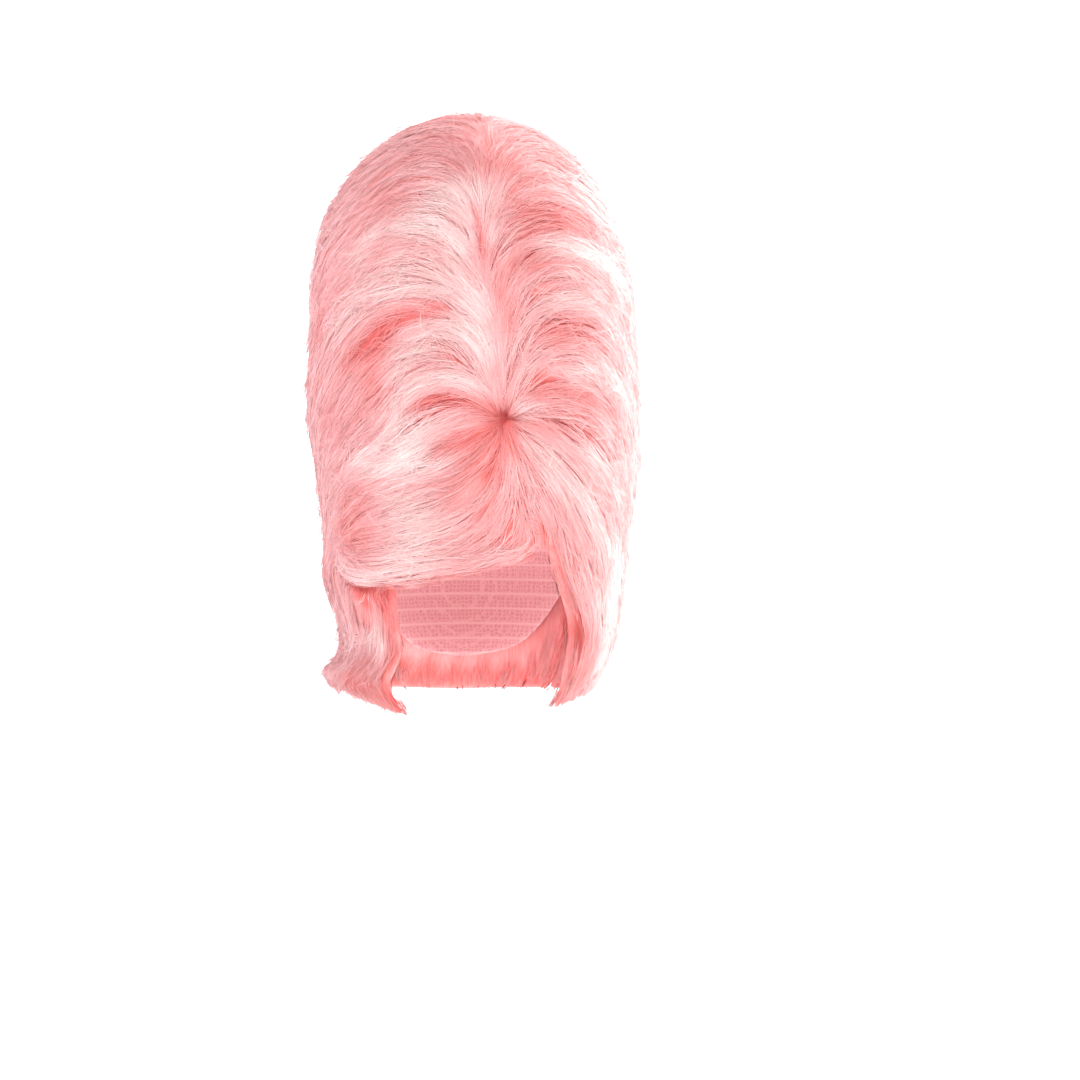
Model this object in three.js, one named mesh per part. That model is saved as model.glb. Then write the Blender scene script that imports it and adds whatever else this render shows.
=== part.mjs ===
// A tall pink beehive wig, shaped as it is worn. A stretch net cap carries a high pad of back-combed hair.
// Smooth combed hair covers the pad: waves that leave a parting on both sides, a fringe swept to one side,
// a lock over the other temple, the crown and the back. Below them a bob frames the face and flips outwards.
// Millimetres, +Z up. The wearer faces -Y, so +X is the wearer's left. The origin is the inside of the cap,
// at the crown of the head. Angles go round from the front, positive towards +X.
import * as THREE from "three";

// The head that the cap fits
const headWidth = 152;
const headLength = 192;
const headCrown = 96; // from the crown down to the head's widest level
const neckTaper = 0.2; // share of its width that the head has lost at the cap's nape

// The net cap
const capWall = 1.8;
const napeDrop = 158; // from the crown down to the cap's edge at the nape

// The outer form
const towerWidth = 226;
const towerDepth = 236;
const towerHeight = 236; // above the crown of the head
const domeHeight = 126; // the rounded top, out of towerHeight
const coverDrop = 70; // from the crown down to the lower edge of the hair that covers the tower
const bobDrop = 188; // from the crown down to the lowest tips
const padDrop = 46; // from the crown down to the lower edge of the pad

// The combed hair
const coverThickness = 12;
const bobThickness = 14;
const tuckThickness = 7; // the bob's roots, tucked up under the cover
const lockDepth = 3.2; // how far a lock stands out from the groove beside it
const waveRise = 4.5; // how far the middle of a wave stands out from its edges
const bobRise = 1.5; // the same for a piece of the bob
const tipThinning = 5; // how much thinner the hair is at its ends and at its parting
const tipTaper = 0.35; // the share of its thickness that a piece loses from underneath towards its ends
const tuckStart = 8; // below the cover's edge, where the bob starts to come out from under it
const tuckLength = 12; // over which it comes out

// The parting, a line up the front from the whorl where the fringe, the waves and the temple lock all start
const whorlHeight = 17;
const whorlRadius = 5;
const partLength = 126;
const partLean = -5; // degrees round, at the parting's top

// Clearances
const layerGap = 1.2; // between one layer of hair and the one under it
const seamGap = 1; // between pieces that lie side by side

const hairMaterial = new THREE.MeshStandardMaterial({ color: 0xf4a3a8, roughness: 0.55, metalness: 0 });
const padMaterial = new THREE.MeshStandardMaterial({ color: 0xea8f96, roughness: 0.85, metalness: 0 });
const netMaterial = new THREE.MeshStandardMaterial({ color: 0xe9a0a6, roughness: 0.9, metalness: 0 });

const RIGHT_ANGLE = Math.PI / 2;
const radians = THREE.MathUtils.degToRad;
const lerp = THREE.MathUtils.lerp;
const smooth = THREE.MathUtils.smoothstep;

// A row made between the rows of a table, on a curve through every row, where the named column has this value.
function rowAt(rows, column, value) {
  const last = rows.length - 1;
  const x = THREE.MathUtils.clamp(value, rows[0][column], rows[last][column]);
  const i = Math.max(1, rows.findIndex((row) => row[column] >= x));
  const rowNear = (n) => rows[THREE.MathUtils.clamp(n, 0, last)];
  const [before, from, to, after] = [rowNear(i - 2), rowNear(i - 1), rowNear(i), rowNear(i + 1)];
  const span = to[column] - from[column];
  const t = (x - from[column]) / span;
  const made = {};
  for (const name of Object.keys(from)) {
    const slopeFrom = (to[name] - before[name]) / (to[column] - before[column]);
    const slopeTo = (after[name] - from[name]) / (after[column] - from[column]);
    made[name] =
      (2 * t ** 3 - 3 * t ** 2 + 1) * from[name] +
      (t ** 3 - 2 * t ** 2 + t) * slopeFrom * span +
      (3 * t ** 2 - 2 * t ** 3) * to[name] +
      (t ** 3 - t ** 2) * slopeTo * span;
  }
  return made;
}

// The outer form's sections below its dome, from the lowest up. height is a share of towerHeight. left and
// right are shares of half the tower's width, front and back of half its depth.
const formSections = [
  { height: -0.81, left: 0.83, right: 0.6, front: 0.86, back: 0.95 },
  { height: -0.745, left: 0.915, right: 0.73, front: 0.9, back: 0.96 },
  { height: -0.69, left: 0.95, right: 0.785, front: 0.92, back: 0.955 },
  { height: -0.63, left: 0.82, right: 0.835, front: 0.935, back: 0.94 },
  { height: -0.56, left: 0.85, right: 0.885, front: 0.94, back: 0.93 },
  { height: -0.46, left: 0.925, right: 0.895, front: 0.95, back: 0.96 },
  { height: -0.36, left: 0.975, right: 0.935, front: 0.96, back: 1.0 },
  { height: -0.26, left: 0.98, right: 0.98, front: 0.98, back: 1.03 },
  { height: -0.1, left: 0.975, right: 0.985, front: 1.0, back: 1.04 },
  { height: 0.08, left: 1.04, right: 0.985, front: 0.99, back: 1.03 },
  { height: 0.25, left: 1.05, right: 0.975, front: 0.98, back: 1.01 },
  { height: 0.47, left: 1.045, right: 0.97, front: 0.98, back: 0.99 },
];

const halfWidth = towerWidth / 2;
const shoulder = towerHeight - domeHeight;
const coverInset = coverThickness + layerGap; // of what lies under the cover

// A point of the outer form. around is millimetres round from the front, height is the place's height on the
// outer form, and inset sinks it inwards to the matching place below.
function onForm(around, height, inset = 0) {
  const angle = around / halfWidth;
  const section = rowAt(formSections, "height", Math.min(height, shoulder) / towerHeight);
  const wide = (Math.sin(angle) > 0 ? section.right : section.left) * halfWidth - inset;
  const deep = (Math.cos(angle) > 0 ? section.front : section.back) * (towerDepth / 2) - inset;
  const climb = Math.asin(THREE.MathUtils.clamp((height - shoulder) / domeHeight, 0, 1));
  const top = rowAt(formSections, "height", shoulder / towerHeight);
  const drift = ((top.right - top.left) / 2) * halfWidth * (1 - Math.cos(climb));
  return new THREE.Vector3(
    Math.cos(climb) * Math.sin(angle) * wide + drift,
    -Math.cos(climb) * Math.cos(angle) * deep,
    climb > 0 ? shoulder + (domeHeight - inset) * Math.sin(climb) : height,
  );
}

// A point of the head's form. polar is the angle down from the crown, and past a right angle it goes straight
// down towards the neck. out lifts the point off the head.
function onHead(angle, polar, out = 0) {
  const below = Math.max(0, polar - RIGHT_ANGLE) * headCrown;
  const share = polar < RIGHT_ANGLE ? Math.sin(polar) : 1 - neckTaper * (below / (napeDrop - headCrown)) ** 2;
  return new THREE.Vector3(
    share * Math.sin(angle) * (headWidth / 2 + out),
    -share * Math.cos(angle) * (headLength / 2 + out),
    polar < RIGHT_ANGLE ? (headCrown + out) * Math.cos(polar) - headCrown : -headCrown - below,
  );
}

// The polar angle at which the head's form is this far below its crown.
function polarAtDrop(drop) {
  return drop < headCrown ? Math.acos(1 - drop / headCrown) : RIGHT_ANGLE + (drop - headCrown) / headCrown;
}

// A mesh from points and triangles, with a face of four points given as two triangles.
function meshOf(name, material, points, faces) {
  const geometry = new THREE.BufferGeometry().setFromPoints(points);
  geometry.setIndex(faces.flat());
  geometry.computeVertexNormals();
  const mesh = new THREE.Mesh(geometry, material);
  mesh.name = name;
  return mesh;
}

// A closed body of rings round the Z axis, between two poles. The rings run down the outside and up the inside.
function bodyOfRings(name, material, firstPole, rings, lastPole) {
  const count = rings[0].length;
  const faces = [];
  const at = (ring, n) => 1 + ring * count + (n % count);
  const end = 1 + rings.length * count;
  for (let n = 0; n < count; n++) {
    faces.push([0, at(0, n), at(0, n + 1)], [end, at(rings.length - 1, n + 1), at(rings.length - 1, n)]);
    for (let ring = 0; ring + 1 < rings.length; ring++) {
      faces.push([at(ring, n), at(ring + 1, n), at(ring + 1, n + 1)]);
      faces.push([at(ring, n), at(ring + 1, n + 1), at(ring, n + 1)]);
    }
  }
  return meshOf(name, material, [firstPole, ...rings.flat(), lastPole], faces);
}

// A closed slab between two grids of points, an outer and an inner one, seen from outside with across running
// to the right and along running down.
function slab(name, material, outer, inner) {
  const [rows, columns] = [outer.length, outer[0].length];
  const under = rows * columns;
  const at = (row, column) => row * columns + column;
  const faces = [];
  for (let r = 0; r + 1 < rows; r++) {
    for (let c = 0; c + 1 < columns; c++) {
      const [a, b, d, e] = [at(r, c), at(r, c + 1), at(r + 1, c), at(r + 1, c + 1)];
      faces.push([a, d, e], [a, e, b], [under + a, under + e, under + d], [under + a, under + b, under + e]);
    }
  }
  const side = (a, b) => faces.push([a, b, under + b], [a, under + b, under + a]);
  for (let r = 0; r + 1 < rows; r++) {
    side(at(r + 1, 0), at(r, 0));
    side(at(r, columns - 1), at(r + 1, columns - 1));
  }
  for (let c = 0; c + 1 < columns; c++) {
    side(at(0, c), at(0, c + 1));
    side(at(rows - 1, c + 1), at(rows - 1, c));
  }
  return meshOf(name, material, [...outer.flat(), ...inner.flat()], faces);
}

// Angles all the way round, evenly spaced.
function anglesRound(count) {
  return Array.from({ length: count }, (_, n) => (n / count) * 2 * Math.PI);
}

// How far a lock stands out at a share of the way across a run of locks, from 0 in a groove to 1 on a lock.
function lockProfile(across, locks) {
  return Math.sqrt(Math.abs(Math.sin(Math.PI * across * locks)));
}

// The cap's edge round the head, from the front to the back, the same on both sides. drop is a share of napeDrop:
// the edge runs along the hairline, down to a tab before the ear, up over the ear and down to the nape.
const capEdge = [
  { round: 0, drop: 0.33 },
  { round: 35, drop: 0.37 },
  { round: 55, drop: 0.62 },
  { round: 68, drop: 0.72 },
  { round: 84, drop: 0.6 },
  { round: 108, drop: 0.62 },
  { round: 138, drop: 0.92 },
  { round: 180, drop: 1.0 },
];

function netCap() {
  const angles = anglesRound(28);
  const steps = [0.25, 0.52, 0.78, 1];
  const ring = (share, out) =>
    angles.map((angle) => {
      const round = Math.abs(THREE.MathUtils.radToDeg(angle > Math.PI ? angle - 2 * Math.PI : angle));
      const edge = polarAtDrop(rowAt(capEdge, "round", round).drop * napeDrop);
      return onHead(angle, share * edge, out);
    });
  const outside = steps.map((share) => ring(share, capWall));
  const inside = steps.map((share) => ring(share, 0)).reverse();
  return bodyOfRings("wig_cap", netMaterial, onHead(0, 0, capWall), [...outside, ...inside], onHead(0, 0, 0));
}

// The pad of back-combed hair: it fills the tower under the combed hair, and is hollow where the cap goes.
function combedPad() {
  const angles = anglesRound(32);
  const onDome = (share) => shoulder + domeHeight * Math.cos(share * RIGHT_ANGLE);
  const heights = [
    ...[0.1, 0.24, 0.4, 0.6, 0.8].map(onDome),
    ...[1, 0.64, 0.28].map((share) => share * shoulder),
    ...[0.1, 0.55, 1].map((share) => -share * padDrop),
  ];
  const outside = heights.map((height) => angles.map((angle) => onForm(angle * halfWidth, height, coverInset)));
  const edge = polarAtDrop(padDrop);
  const inside = [1, 0.82, 0.62, 0.4, 0.2].map((share) =>
    angles.map((angle) => onHead(angle, share * edge, capWall + layerGap)),
  );
  inside[0].forEach((point) => point.setZ(-padDrop));
  const top = onForm(0, towerHeight, coverInset);
  return bodyOfRings("teased_pad", padMaterial, top, [...outside, ...inside], onHead(0, 0, capWall + layerGap));
}

// Combing lines, the ways that the hair runs over the form. Each leaves the parting at from, a share of the
// way up it, or the whorl where from is 0, or the pad's lower edge where from is the word "pad". It runs through
// the points of its path, in degrees round and shares of towerHeight. It ends end degrees round, at the cover's
// lower edge, or where it has tips, at that share of bobDrop.
const combingLines = {
  left_crown: { from: 1, path: [[-27, 0.71], [-64, 0.55]], end: -104 },
  left_high: { from: 0.62, path: [[-25, 0.535], [-63, 0.37]], end: -90 },
  left_middle: { from: 0.22, path: [[-25, 0.3], [-55, 0.1]], end: -75 },
  left_low: { from: 0, path: [[-19, 0.125], [-36, -0.03]], end: -60 },
  fringe_middle: { from: 0, path: [[-5, -0.07], [-18, -0.2], [-42, -0.29]], end: -66 },
  fringe_edge: {
    from: 0,
    path: [[4.5, -0.13], [14, -0.26], [15.5, -0.31], [6, -0.345], [-13, -0.372], [-37, -0.414], [-58, -0.39]],
    end: -72,
  },
  temple_edge: {
    from: 0,
    path: [[5.4, -0.12], [15.6, -0.245], [22.5, -0.34], [30.5, -0.45], [36.5, -0.55], [36, -0.67]],
    end: 38,
    tips: 0.97,
  },
  temple_side: {
    from: 0,
    path: [[19.5, 0.05], [36, -0.06], [47, -0.22], [53, -0.4], [56, -0.56], [56, -0.68]],
    end: 54,
    tips: 0.96,
  },
  right_low: { from: 0, path: [[21, 0.075], [38, -0.035], [48.5, -0.19]], end: 52.5 },
  right_middle: { from: 0.25, path: [[20, 0.37], [50, 0.17]], end: 68 },
  right_high: { from: 0.6, path: [[17, 0.56], [57, 0.4]], end: 84 },
  right_crown: { from: 1, path: [[17, 0.705], [58, 0.56]], end: 98 },
  bob_left_face: {
    from: "pad",
    path: [[-50, -0.34], [-46.5, -0.48], [-48, -0.6], [-47, -0.7]],
    end: -42,
    tips: 1,
  },
  bob_left_middle: { from: "pad", path: [[-80, -0.34], [-80, -0.48], [-80, -0.68]], end: -80, tips: 0.93 },
  bob_left_back: { from: "pad", path: [[-122, -0.34], [-122, -0.48], [-122, -0.68]], end: -122, tips: 0.95 },
  bob_nape: { from: "pad", path: [[-180, -0.34], [-180, -0.48], [-180, -0.68]], end: -180, tips: 0.98 },
  bob_right_back: { from: "pad", path: [[-238, -0.34], [-238, -0.48], [-238, -0.68]], end: -238, tips: 0.96 },
  bob_right_middle: { from: "pad", path: [[-274, -0.34], [-274, -0.48], [-274, -0.68]], end: -274, tips: 0.93 },
  bob_right_side: {
    from: "pad",
    path: [[-306, -0.34], [-304, -0.45], [-302.5, -0.62]],
    end: -304.5,
    tips: 0.955,
  },
};

const place = (round, height) => new THREE.Vector2(radians(round) * halfWidth, height);

// A combing line as a curve over the unrolled form, both ways in millimetres.
function combingCurve(name) {
  const { from, path, end, tips } = combingLines[name];
  const points = path.map(([round, share]) => place(round, share * towerHeight));
  points.push(place(end, tips ? -tips * bobDrop : -coverDrop));
  if (from === "pad") return new THREE.SplineCurve([points[0].clone().setY(-padDrop - seamGap), ...points]);
  const start = place(from * partLean, whorlHeight + from * partLength);
  if (from === 0) start.add(points[0].clone().sub(start).setLength(whorlRadius));
  return new THREE.SplineCurve([start, ...points]);
}

// A grid of places, with rows along the curves and columns across them. Its rim is drawn in by half a seam.
function gridBetween(curves, columns, rows) {
  const grid = Array.from({ length: rows + 1 }, (_, r) =>
    Array.from({ length: columns + 1 }, (_, c) => {
      const across = (c / columns) * (curves.length - 1);
      const i = Math.min(curves.length - 2, Math.floor(across));
      return curves[i].getPointAt(r / rows).lerp(curves[i + 1].getPointAt(r / rows), across - i);
    }),
  );
  // A line's points half a seam to its left, for a side of 1, or to its right, for -1.
  const shifted = (line, side) =>
    line.map((at, n) => {
      const way = line[Math.min(n + 1, line.length - 1)].clone().sub(line[Math.max(n - 1, 0)]);
      return at.clone().add(new THREE.Vector2(-way.y, way.x).setLength((side * seamGap) / 2));
    });
  const left = shifted(grid.map((row) => row[0]), 1);
  const right = shifted(grid.map((row) => row[columns]), -1);
  const sides = grid.map((row, r) => [left[r], ...row.slice(1, -1), right[r]]);
  return [shifted(sides[0], -1), ...sides.slice(1, -1), shifted(sides[rows], 1)];
}

// A run of locks laid over the form along a grid of places. rise is how far the run's middle stands out, and
// sunk and thick are functions of a place.
function runOfLocks(name, grid, locks, rise, sunk, thick) {
  const [rows, columns] = [grid.length - 1, grid[0].length - 1];
  const outer = grid.map((row, r) =>
    row.map((at, c) => {
      const [along, across] = [r / rows, c / columns];
      const lift = lockDepth * (lockProfile(across, locks) - 1) + rise * Math.sin(Math.PI * across);
      const ends = (sunk(at) > 0 ? 1 : smooth(along, 0, 0.22)) * (1 - smooth(along, 0.8, 1));
      const free = 1 - sunk(at) / coverInset;
      return onForm(at.x, at.y, sunk(at) - lift * ends * free + tipThinning * (1 - ends));
    }),
  );
  const inner = grid.map((row, r) =>
    row.map((at) => onForm(at.x, at.y, sunk(at) + thick(at) * (1 - tipTaper * smooth(r / rows, 0.75, 1)))),
  );
  return slab(name, hairMaterial, outer, inner);
}

// How far the bob lies in at a place, to be under the cover where the cover reaches.
const fringeEdge = combingCurve("fringe_edge").getSpacedPoints(60).slice(30);
function tucked(at) {
  const edge = fringeEdge.find((point) => point.x <= at.x) ?? fringeEdge[fringeEdge.length - 1];
  const cover = at.x > fringeEdge[fringeEdge.length - 1].x ? edge.y : -coverDrop;
  return coverInset * (1 - smooth(cover - at.y, tuckStart, tuckStart + tuckLength));
}
const bobThick = (at) => lerp(bobThickness, tuckThickness, tucked(at) / coverInset);

// The pieces that lie between combing lines, given from left to right as seen from outside.
const coverPieces = [
  { name: "left_wave_high", lines: ["left_crown", "left_high"], locks: 3, columns: 9, rows: 18 },
  { name: "left_wave_middle", lines: ["left_high", "left_middle"], locks: 3, columns: 9, rows: 18 },
  { name: "left_wave_low", lines: ["left_middle", "left_low"], locks: 3, columns: 9, rows: 18 },
  { name: "fringe_sweep", lines: ["left_low", "fringe_middle", "fringe_edge"], locks: 5, columns: 15, rows: 18 },
  { name: "temple_lock", lines: ["temple_edge", "temple_side"], locks: 4, columns: 12, rows: 13 },
  { name: "right_wave_low", lines: ["right_low", "right_middle"], locks: 3, columns: 9, rows: 12 },
  { name: "right_wave_middle", lines: ["right_middle", "right_high"], locks: 3, columns: 9, rows: 12 },
  { name: "right_wave_high", lines: ["right_high", "right_crown"], locks: 3, columns: 9, rows: 12 },
];
const bobPieces = [
  { name: "bob_left", lines: ["bob_left_back", "bob_left_middle", "bob_left_face"], locks: 6, columns: 12 },
  { name: "bob_back", lines: ["bob_right_back", "bob_nape", "bob_left_back"], locks: 8, columns: 16 },
  { name: "bob_right", lines: ["bob_right_side", "bob_right_middle", "bob_right_back"], locks: 6, columns: 12 },
];
const bobRows = 12;
const domeRings = 14;
const backSteps = 15;

// The way down the form from its top, in millimetres along a side view of it, and the height at that way down.
const quarter = domeHeight * RIGHT_ANGLE;
function downTo(height) {
  const onSide = quarter + shoulder - height;
  return height > shoulder ? domeHeight * Math.acos((height - shoulder) / domeHeight) : onSide;
}
function heightAt(down) {
  return down < quarter ? shoulder + domeHeight * Math.cos(down / domeHeight) : quarter + shoulder - down;
}

// The hair over the dome and down the back. Its front edges lie along the two crown lines. Its locks run round
// the front in arches, and straight down the back.
function crownDome() {
  const rowsBeside = (name) => coverPieces.find((piece) => piece.lines.includes(name)).rows;
  const spaced = (name) => combingCurve(name).getSpacedPoints(rowsBeside(name));
  const [left, right] = [spaced("left_crown"), spaced("right_crown")];
  const turn = 2 * Math.PI * halfWidth;
  const back = Array.from({ length: backSteps - 1 }, (_, n) =>
    new THREE.Vector2(lerp(left.at(-1).x, right.at(-1).x - turn, (n + 1) / backSteps), -coverDrop),
  );
  // up the right, round the back and up the left to the parting's top
  const edge = [...left, ...back, ...right.slice(1).reverse()].reverse();
  const groove = (at, n, ringNumber) => {
    const front = smooth(Math.cos(at.x / halfWidth), -0.5, 0.1);
    return (lockDepth / 2) * (front * (ringNumber % 2) + (1 - front) * (n % 2));
  };
  const ring = (share, insetAt) =>
    edge.map((at, n) => onForm(at.x, heightAt(share * (downTo(at.y) - seamGap)), insetAt(at, n)));
  const steps = Array.from({ length: domeRings }, (_, n) => (n + 1) / domeRings);
  const outside = steps.map((share, ringNumber) =>
    ring(share, (at, n) => (share === 1 ? tipThinning : groove(at, n, ringNumber) * smooth(share, 0, 0.4))),
  );
  const inside = steps.map((share) => ring(share, () => coverThickness)).reverse();
  const [top, under] = [onForm(0, towerHeight), onForm(0, towerHeight, coverThickness)];
  return bodyOfRings("crown_dome", hairMaterial, top, [...outside, ...inside], under);
}

const wig = new THREE.Group();
wig.add(netCap(), combedPad(), crownDome());
for (const { name, lines, locks, columns, rows } of coverPieces) {
  const grid = gridBetween(lines.map(combingCurve), columns, rows);
  wig.add(runOfLocks(name, grid, locks, waveRise, () => 0, () => coverThickness));
}
for (const { name, lines, locks, columns } of bobPieces) {
  const grid = gridBetween(lines.map(combingCurve), columns, bobRows);
  wig.add(runOfLocks(name, grid, locks, bobRise, tucked, bobThick));
}

export default wig;
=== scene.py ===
"""A tall pink beehive wig in its worn shape: combed hair over a back-combed tower, on a stretch net cap.

+Z up, and the wearer faces -Y. The origin is the inside of the cap, at the crown of the head. Lengths are in
millimetres here, and in metres (times MM) in the pieces.
"""

import math

import bmesh
import bpy
import numpy as np
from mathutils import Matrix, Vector
from mathutils.bvhtree import BVHTree


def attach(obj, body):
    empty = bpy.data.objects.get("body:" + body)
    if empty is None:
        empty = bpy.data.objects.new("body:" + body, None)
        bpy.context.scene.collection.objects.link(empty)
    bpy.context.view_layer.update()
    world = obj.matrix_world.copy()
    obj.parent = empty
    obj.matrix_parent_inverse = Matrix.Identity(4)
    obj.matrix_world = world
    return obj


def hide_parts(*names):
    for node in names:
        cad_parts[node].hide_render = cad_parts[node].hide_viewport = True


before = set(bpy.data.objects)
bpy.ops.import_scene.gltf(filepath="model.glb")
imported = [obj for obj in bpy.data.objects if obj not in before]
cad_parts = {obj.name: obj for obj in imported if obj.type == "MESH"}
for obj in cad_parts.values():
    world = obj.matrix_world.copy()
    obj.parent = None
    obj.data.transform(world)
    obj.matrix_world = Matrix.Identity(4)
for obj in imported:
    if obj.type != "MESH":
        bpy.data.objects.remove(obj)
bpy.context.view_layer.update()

# The cap: a stretch net of pink nylon with a bound edge, which everything is sewn to. The hair is sewn to its
# outside in wefts, so its inside shows the net and the wefts' rows of stitching.
MM = 0.001
NET_HOLE = 3.0
WEFT_SPACING = 11


def linear(hex_colour):
    """An sRGB hex colour as linear red, green, blue and alpha."""
    channels = [int(hex_colour[i : i + 2], 16) / 255 for i in (1, 3, 5)]
    return [c / 12.92 if c <= 0.04045 else ((c + 0.055) / 1.055) ** 2.4 for c in channels] + [1.0]


def add_node(tree, kind, settings=None, inputs=None):
    """A node with its settings, and its inputs as values or as other nodes' outputs."""
    node = tree.nodes.new(kind)
    for name, value in (settings or {}).items():
        setattr(node, name, value)
    for name, value in (inputs or {}).items():
        if isinstance(value, bpy.types.NodeSocket):
            tree.links.new(value, node.inputs[name])
        else:
            node.inputs[name].default_value = value
    return node


def new_material(name):
    """A new material, as its material, its node tree and its shader."""
    material = bpy.data.materials.new(name)
    material.use_nodes = True
    tree = material.node_tree
    return material, tree, tree.nodes["Principled BSDF"]


def ramp(tree, factor, stops):
    """A colour ramp's output, from stops of position and hex colour."""
    node = add_node(tree, "ShaderNodeValToRGB", inputs={"Fac": factor})
    elements = node.color_ramp.elements
    while len(elements) < len(stops):
        elements.new(0.5)
    for element, (position, colour) in zip(elements, stops):
        element.position = position
        element.color = linear(colour)
    return node.outputs["Color"]


def copy_of(node_name, piece_name, rounds):
    """A new piece with a CAD node's form, merged and rounded by subdivision."""
    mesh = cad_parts[node_name].data.copy()
    body = bmesh.new()
    body.from_mesh(mesh)
    bmesh.ops.remove_doubles(body, verts=body.verts, dist=0.01 * MM)
    bmesh.ops.recalc_face_normals(body, faces=body.faces)
    body.to_mesh(mesh)
    body.free()
    mesh.polygons.foreach_set("use_smooth", [True] * len(mesh.polygons))
    mesh.materials.clear()
    piece = bpy.data.objects.new(piece_name, mesh)
    bpy.context.collection.objects.link(piece)
    rounding = piece.modifiers.new("rounding", "SUBSURF")
    rounding.levels = rounding.render_levels = rounds
    rounded = piece.evaluated_get(bpy.context.evaluated_depsgraph_get())
    piece.data = bpy.data.meshes.new_from_object(rounded)
    piece.modifiers.clear()
    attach(piece, "root")
    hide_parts(node_name)
    return piece


net, tree, shader = new_material("stretch_net")
place = add_node(tree, "ShaderNodeTexCoord").outputs["Object"]
holes = add_node(
    tree,
    "ShaderNodeTexVoronoi",
    {"feature": "DISTANCE_TO_EDGE"},
    {"Vector": place, "Scale": 1 / (NET_HOLE * MM), "Randomness": 0.4},
)
height = add_node(tree, "ShaderNodeSeparateXYZ", inputs={"Vector": place}).outputs["Z"]
rows = add_node(
    tree, "ShaderNodeMath", {"operation": "PINGPONG"}, {0: height, 1: WEFT_SPACING / 2 * MM}
).outputs[0]
row_height = add_node(tree, "ShaderNodeMath", {"operation": "MULTIPLY"}, {0: rows, 1: 180}).outputs[0]
stitched = ramp(tree, row_height, [(0.1, "#ffffff"), (0.22, "#000000")])
threads = ramp(tree, holes.outputs["Distance"], [(0.05, "#e6b4b7"), (0.16, "#d79ba0")])
weave = add_node(tree, "ShaderNodeMix", {"data_type": "RGBA"})
tree.links.new(stitched, weave.inputs[0])
tree.links.new(threads, weave.inputs[6])
weave.inputs[7].default_value = linear("#e9bdbf")
tree.links.new(weave.outputs[2], shader.inputs["Base Color"])
shader.inputs["Roughness"].default_value = 0.8

cap = copy_of("wig_cap", "net_cap", 2)
cap.data.materials.append(net)

# The hair that gives the wig its form: back-combed fibre fills the tower, and packed runs of combed hair lie
# over it, sewn on in rows. The single fibres lie on top of them, and take their shades from the same tone.
HAIR_SHADES = [(0.0, "#e56c68"), (0.25, "#ec9594"), (0.5, "#f0b1b2"), (0.75, "#f5cfce"), (1.0, "#fcebe8")]
# Painted glow: the fibres give off a faint coral light of their own, which stands in for light scattered from
# fibre to fibre and makes their shadows less grey
PAINTED_GLOW = "#f0605c"  # the colour that light takes as it passes from fibre to fibre
GLOW_STRENGTH = 0.07
packed, tree, shader = new_material("packed_fibre")
place = add_node(tree, "ShaderNodeTexCoord").outputs["Object"]
drawn_out = add_node(tree, "ShaderNodeMapping", inputs={"Vector": place, "Scale": (1.0, 1.0, 0.08)})
streaks = add_node(
    tree,
    "ShaderNodeTexNoise",
    inputs={"Vector": drawn_out.outputs["Vector"], "Scale": 1 / (1.6 * MM), "Detail": 3.0},
)
tone_value = add_node(tree, "ShaderNodeAttribute", {"attribute_name": "tone"}).outputs["Fac"]
streaked = add_node(
    tree, "ShaderNodeMath", {"operation": "MULTIPLY_ADD"}, {0: streaks.outputs["Fac"], 1: 0.4, 2: tone_value}
)
toned = add_node(tree, "ShaderNodeMath", {"operation": "SUBTRACT"}, {0: streaked.outputs[0], 1: 0.3})
tree.links.new(ramp(tree, toned.outputs[0], HAIR_SHADES), shader.inputs["Base Color"])
relief = add_node(
    tree,
    "ShaderNodeBump",
    inputs={"Height": streaks.outputs["Fac"], "Strength": 0.6, "Distance": 0.8 * MM},
)
tree.links.new(relief.outputs["Normal"], shader.inputs["Normal"])
shader.inputs["Roughness"].default_value = 0.6
# The painted glow of scattered light, on the packed hair
shader.inputs["Emission Color"].default_value = linear(PAINTED_GLOW)
shader.inputs["Emission Strength"].default_value = GLOW_STRENGTH

pad = copy_of("teased_pad", "back_combed_pad", 1)
pad.data.materials.append(packed)
runs = []
for node_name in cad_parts:
    if node_name in ("wig_cap", "teased_pad"):
        continue
    run = copy_of(node_name, "packed_" + node_name, 1)
    run.data.materials.append(packed)
    runs.append(run)

# The outer form that the single fibres are laid over, the same as the solids'. A place on it is around, the
# millimetres round from the front towards +X, and down, the millimetres down it from its top.
TOWER_WIDTH = 226
TOWER_DEPTH = 236
TOWER_HEIGHT = 236
DOME_HEIGHT = 126
BOB_DROP = 188
# Sections from the lowest up: the height as a share of TOWER_HEIGHT, left and right as shares of half the
# tower's width, front and back as shares of half its depth
SECTIONS = np.array(
    [
        (-0.81, 0.83, 0.6, 0.86, 0.95),
        (-0.745, 0.915, 0.73, 0.9, 0.96),
        (-0.69, 0.95, 0.785, 0.92, 0.955),
        (-0.63, 0.82, 0.835, 0.935, 0.94),
        (-0.56, 0.85, 0.885, 0.94, 0.93),
        (-0.46, 0.925, 0.895, 0.95, 0.96),
        (-0.36, 0.975, 0.935, 0.96, 1.0),
        (-0.26, 0.98, 0.98, 0.98, 1.03),
        (-0.1, 0.975, 0.985, 1.0, 1.04),
        (0.08, 1.04, 0.985, 0.99, 1.03),
        (0.25, 1.05, 0.975, 0.98, 1.01),
        (0.47, 1.045, 0.97, 0.98, 0.99),
    ]
)
HALF_WIDTH = TOWER_WIDTH / 2
TURN = 2 * math.pi * HALF_WIDTH
SHOULDER = TOWER_HEIGHT - DOME_HEIGHT
QUARTER = DOME_HEIGHT * math.pi / 2
DOWN_END = QUARTER + SHOULDER + BOB_DROP + 8


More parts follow.
